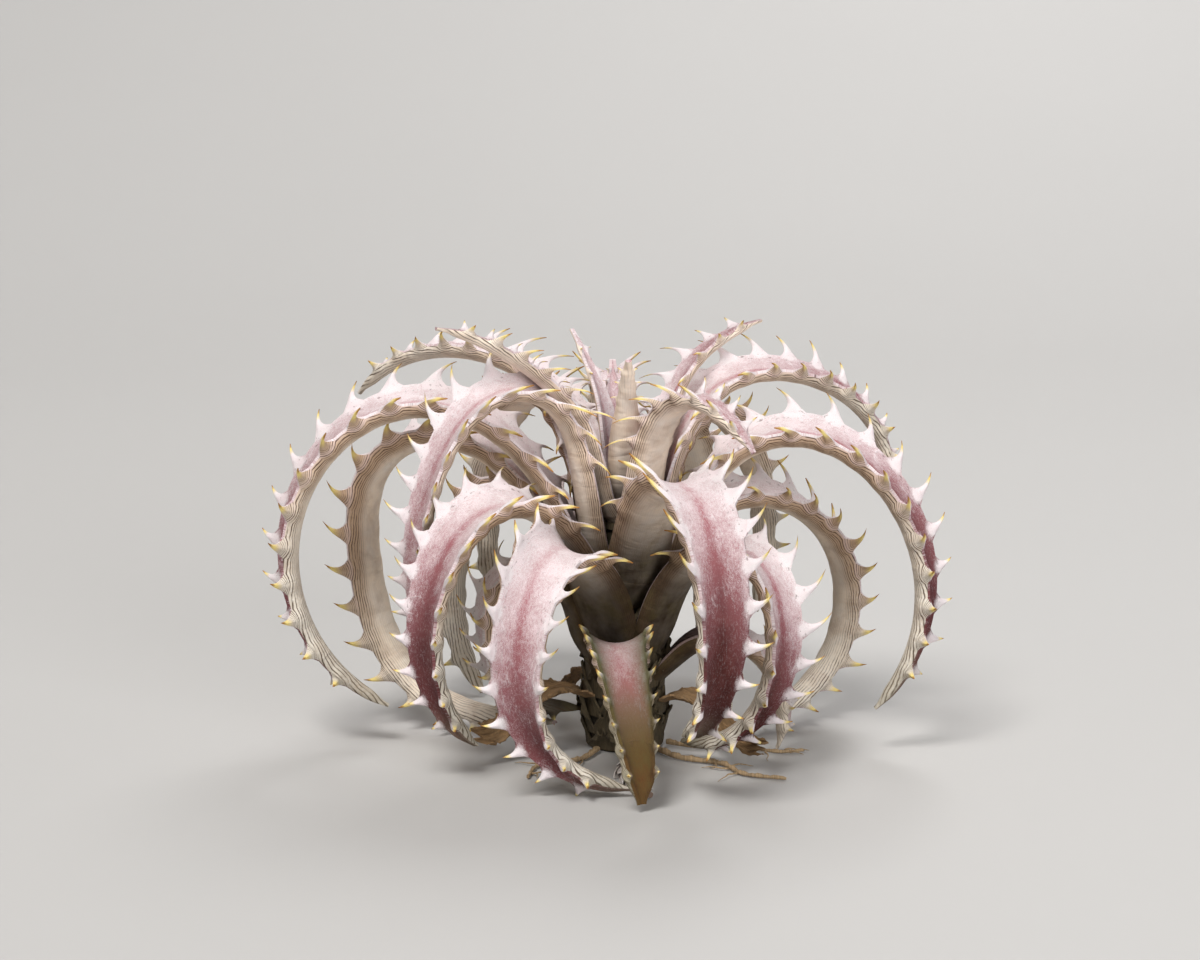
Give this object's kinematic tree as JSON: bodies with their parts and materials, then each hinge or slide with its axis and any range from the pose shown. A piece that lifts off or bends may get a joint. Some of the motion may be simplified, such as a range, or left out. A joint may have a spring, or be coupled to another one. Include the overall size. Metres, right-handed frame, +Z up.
{
  "type": "dyckia bromeliad plant",
  "caption": "Bare-rooted dyckia bromeliad: a rosette of arching, felted leaves with hooked spines along both margins, on a short stem.",
  "frame": {"origin": "middle of the stem's flat cut foot, on the surface that the plant rests on", "axes": "+Z up along the stem, -Y towards the front of the rosette, +X to its right seen from the front"},
  "size_m": [0.1404, 0.1292, 0.0882],
  "materials": {
    "leaf_felt": "dry pink and white felt",
    "withered_leaf": "papery, dried",
    "stem_bark": "dark fibrous leaf bases",
    "root_fibre": "dry wiry fibre"
  },
  "bodies": {
    "root": {"stem": "stem_bark", "front_leaf_short": "leaf_felt", "right_leaf_low": "leaf_felt", "back_leaf_far_left": "leaf_felt", "left_leaf_low": "leaf_felt", "outer_leaf_back_right": "leaf_felt", "front_leaf_far_right": "leaf_felt", "front_leaf_left": "leaf_felt", "back_leaf_low": "leaf_felt", "left_leaf_back": "leaf_felt", "outer_leaf_right": "leaf_felt", "left_leaf_front": "leaf_felt", "back_leaf_right": "leaf_felt", "back_leaf_left": "leaf_felt", "outer_leaf_left": "leaf_felt", "front_leaf_right": "leaf_felt", "right_leaf_back": "leaf_felt", "left_leaf_narrow": "leaf_felt", "high_leaf_left": "leaf_felt", "high_leaf_right": "leaf_felt", "inner_leaf_front_right": "leaf_felt", "back_leaf_high": "leaf_felt", "inner_leaf_left": "leaf_felt", "inner_leaf_right": "leaf_felt", "crown_leaf_front": "leaf_felt", "crown_spike": "leaf_felt", "crown_leaf_back": "leaf_felt", "withered_leaf_left": "withered_leaf", "withered_leaf_right": "withered_leaf", "withered_leaf_back": "withered_leaf", "old_stalk": "root_fibre", "root_front_right": "root_fibre", "root_right": "root_fibre", "root_front_left": "root_fibre", "root_back": "root_fibre"}
  },
  "joints": []
}
